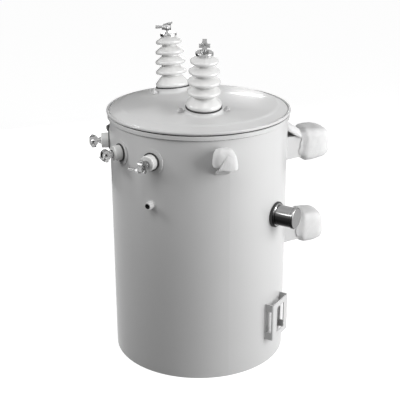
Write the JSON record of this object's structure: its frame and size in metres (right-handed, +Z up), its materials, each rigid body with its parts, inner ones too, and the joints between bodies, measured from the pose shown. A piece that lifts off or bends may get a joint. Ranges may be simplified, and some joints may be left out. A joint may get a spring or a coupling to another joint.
{
  "type": "pole mounted transformer",
  "caption": "Grey cylindrical oil tank with ribbed porcelain bushings on its cover, short bushings on its wall, pole lugs and lifting lugs still wrapped in foam",
  "frame": {"origin": "centre of the tank's underside", "axes": "+Z up, -Y towards the low voltage bushings, +Y towards the pole, +X to the right seen from the low voltage side"},
  "size_m": [0.5878, 0.6806, 0.9385],
  "materials": {
    "tank_paint": "light grey gloss paint",
    "porcelain": "light grey glaze",
    "rubber": "black gasket rubber",
    "tinned": "bright tinned metal",
    "polished": "polished cap",
    "foam": "soft white packing foam"
  },
  "bodies": {
    "root": {"cover": "tank_paint", "cover_gasket": "tank_paint", "ground_lug": "tank_paint", "hv_cap_left": "tinned", "hv_cap_right": "tinned", "hv_clamps_left": "tank_paint", "hv_clamps_right": "tank_paint", "hv_gasket_left": "rubber", "hv_gasket_right": "rubber", "hv_porcelain_left": "porcelain", "hv_porcelain_right": "porcelain", "hv_terminal_left": "tinned", "hv_terminal_right": "tinned", "lifting_foam_left": "foam", "lifting_foam_right": "foam", "lifting_lug_left": "tank_paint", "lifting_lug_right": "tank_paint", "lv_gasket_1": "rubber", "lv_gasket_2": "rubber", "lv_gasket_3": "rubber", "lv_porcelain_1": "porcelain", "lv_porcelain_2": "porcelain", "lv_porcelain_3": "porcelain", "lv_terminal_1": "tinned", "lv_terminal_2": "tinned", "lv_terminal_3": "tinned", "relief_pipe": "tank_paint", "rim_band": "tank_paint", "slotted_bracket": "tank_paint", "support_foam_lower": "foam", "support_foam_upper": "foam", "support_lug_lower": "tank_paint", "support_lug_upper": "tank_paint", "tank_bottom": "tank_paint", "tank_shell": "tank_paint", "tap_cap": "polished", "tap_flange": "polished", "tap_gasket": "rubber"}
  },
  "joints": []
}
